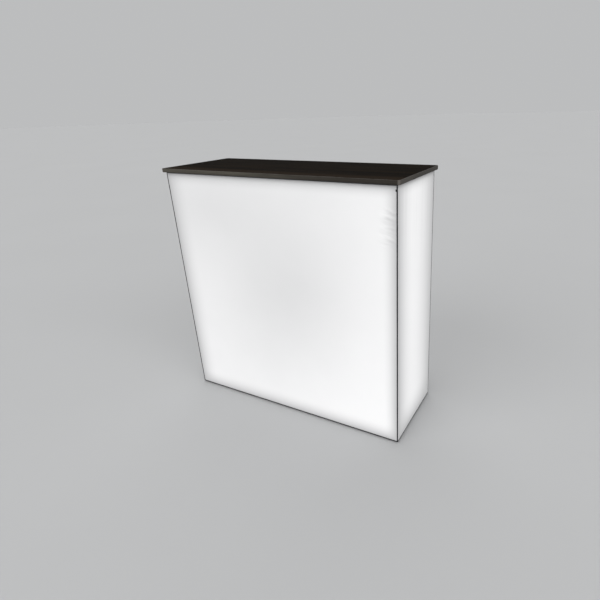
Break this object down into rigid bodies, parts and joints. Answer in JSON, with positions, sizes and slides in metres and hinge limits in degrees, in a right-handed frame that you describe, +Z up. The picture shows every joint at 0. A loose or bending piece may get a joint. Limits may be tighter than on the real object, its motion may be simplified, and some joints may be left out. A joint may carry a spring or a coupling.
{
  "type": "illuminated counter",
  "caption": "Free-standing light-box counter with four lit fabric faces on an extruded frame, a lift-off dark worktop, levelling feet and a switched mains inlet.",
  "frame": {"origin": "on the floor under the middle of the counter", "axes": "+X along the front to the right, +Y from front to rear, +Z up"},
  "size_m": [1.024, 0.374, 1],
  "materials": {
    "frame_aluminium": "dark anodised, satin",
    "light_bar": "mill finish",
    "fabric": "white knitted light-box cloth, lit from behind",
    "silicone": "translucent silicone",
    "ribbon": "black woven ribbon",
    "laminate": "near-black wood-grain laminate, satin",
    "edge_band": "matching edge band, satin",
    "steel": "zinc plated",
    "die_cast": "die cast",
    "foot_plastic": "black moulded",
    "white_panel": "white plastic sheet, matt",
    "dark_panel": "dark grey powder coat",
    "black_steel": "black oxide",
    "inlet_plastic": "black moulded",
    "brass": "bright",
    "rocker_plastic": "black, glossy",
    "driver_case": "silver grey paint",
    "driver_cap": "dark grey moulded",
    "circuit_board": "white solder mask",
    "lens": "clear moulded lens",
    "mains_sheath": "black sheath",
    "lead_sheath": "white sheath",
    "clip_plastic": "white moulded"
  },
  "bodies": {
    "light_box": {"base_panel": "white_panel", "base_panel_screws": "steel", "bottom_rail_front": "frame_aluminium", "bottom_rail_left": "frame_aluminium", "bottom_rail_rear": "frame_aluminium", "bottom_rail_right": "frame_aluminium", "corner_blocks_bottom": "die_cast", "corner_blocks_top": "die_cast", "driver_case": "driver_case", "driver_end_caps": "driver_cap", "driver_screws": "steel", "front_beads": "silicone", "front_fabric": "fabric", "grub_screws": "steel", "inlet_housing": "inlet_plastic", "inlet_pins": "brass", "lead_clips": "clip_plastic", "led_boards": "circuit_board", "led_lenses": "lens", "left_beads": "silicone", "left_fabric": "fabric", "light_bar_base_front": "light_bar", "light_bar_base_rear": "light_bar", "light_bar_front_left": "light_bar", "light_bar_front_right": "light_bar", "light_bar_rear_left": "light_bar", "light_bar_rear_right": "light_bar", "light_leads": "lead_sheath", "mains_lead": "mains_sheath", "post_front_left": "frame_aluminium", "post_front_right": "frame_aluminium", "post_rear_left": "frame_aluminium", "post_rear_right": "frame_aluminium", "pull_tabs": "ribbon", "rear_beads": "silicone", "rear_fabric": "fabric", "right_beads": "silicone", "right_fabric": "fabric", "service_panel": "dark_panel", "service_panel_angles": "frame_aluminium", "service_panel_screws": "black_steel", "service_rail": "frame_aluminium", "service_rail_brackets": "frame_aluminium", "top_rail_front": "frame_aluminium", "top_rail_left": "frame_aluminium", "top_rail_rear": "frame_aluminium", "top_rail_right": "frame_aluminium"},
    "worktop": {"worktop_board": "laminate", "worktop_edging": "edge_band", "worktop_pegs": "steel"},
    "rocker": {"rocker": "rocker_plastic"},
    "foot_front_left": {"foot_pad_front_left": "foot_plastic", "foot_stud_front_left": "steel"},
    "foot_front_right": {"foot_pad_front_right": "foot_plastic", "foot_stud_front_right": "steel"},
    "foot_rear_left": {"foot_pad_rear_left": "foot_plastic", "foot_stud_rear_left": "steel"},
    "foot_rear_right": {"foot_pad_rear_right": "foot_plastic", "foot_stud_rear_right": "steel"}
  },
  "joints": [
    {"name": "worktop_lift", "type": "slide", "parent": "light_box", "child": "worktop", "axis": [0, 0, 1], "range_m": [0, 0.05]},
    {"name": "rocker_tip", "type": "hinge", "parent": "light_box", "child": "rocker", "pos_m": [-0.335, 0.171, 0.0745], "axis": [-1, 0, 0], "range_deg": [0, 16]},
    {"name": "foot_screw_front_left", "type": "slide", "parent": "light_box", "child": "foot_front_left", "axis": [0, 0, -1], "range_m": [0, 0.01]},
    {"name": "foot_screw_front_right", "type": "slide", "parent": "light_box", "child": "foot_front_right", "axis": [0, 0, -1], "range_m": [0, 0.01]},
    {"name": "foot_screw_rear_left", "type": "slide", "parent": "light_box", "child": "foot_rear_left", "axis": [0, 0, -1], "range_m": [0, 0.01]},
    {"name": "foot_screw_rear_right", "type": "slide", "parent": "light_box", "child": "foot_rear_right", "axis": [0, 0, -1], "range_m": [0, 0.01]}
  ]
}
